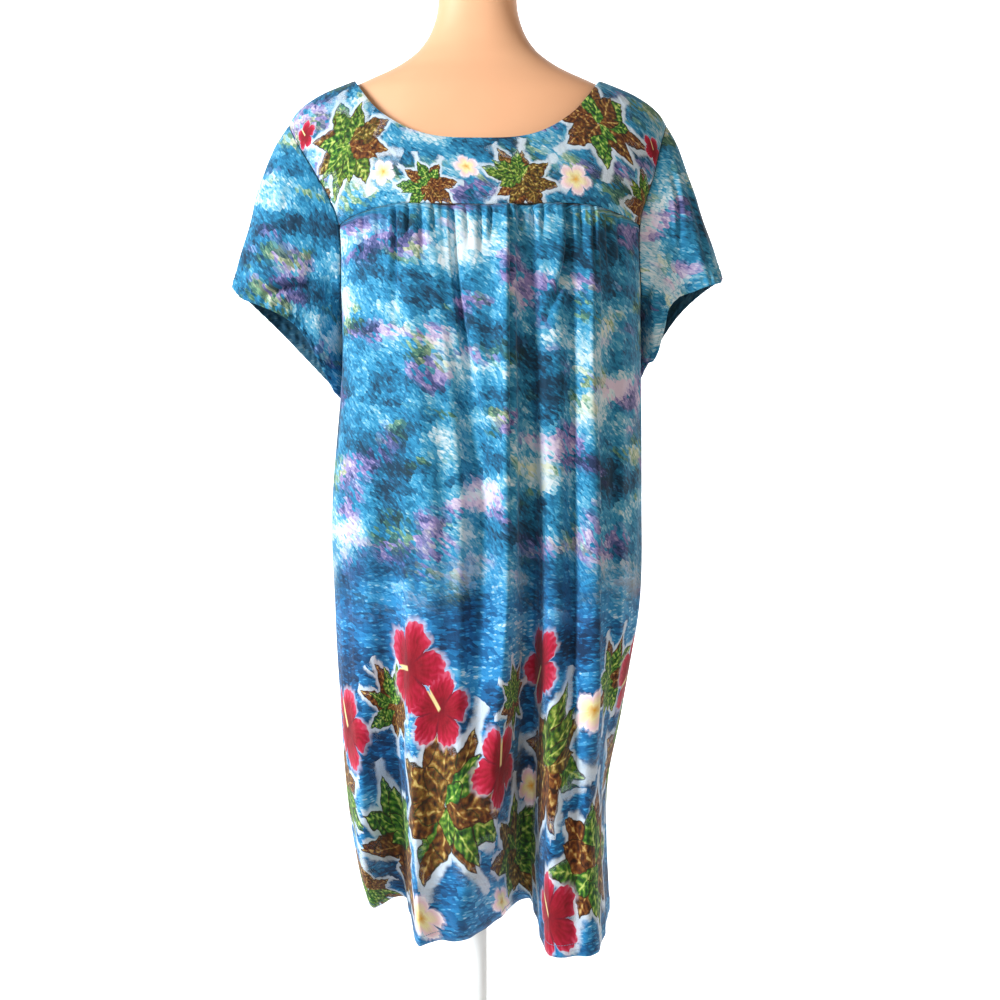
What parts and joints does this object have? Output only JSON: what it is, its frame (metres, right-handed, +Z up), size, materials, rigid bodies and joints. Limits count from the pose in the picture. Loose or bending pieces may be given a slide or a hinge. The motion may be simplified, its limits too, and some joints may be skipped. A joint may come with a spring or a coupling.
{
  "type": "muumuu dress on a dress form",
  "caption": "Loose scoop-neck muumuu dress with a yoke, gathered front and back and flared short sleeves, resting on a smooth limbless form on a pole and round base.",
  "frame": {"origin": "centre of the round base's underside, on the floor", "axes": "+Z up along the pole, the dress's front faces -Y, +X is to the right as seen from the front"},
  "size_m": [0.6625, 0.3426, 1.5723],
  "materials": {
    "cotton": "printed plain-weave cotton, matt",
    "form": "smooth satin skin tone",
    "stand": "white powder coat"
  },
  "bodies": {
    "root": {"front_yoke": "cotton", "back_yoke": "cotton", "front_panel": "cotton", "back_panel": "cotton", "left_sleeve": "cotton", "right_sleeve": "cotton", "form_body": "form", "neck_cap": "form", "pole_socket": "stand", "pole": "stand", "base": "stand"}
  },
  "joints": []
}
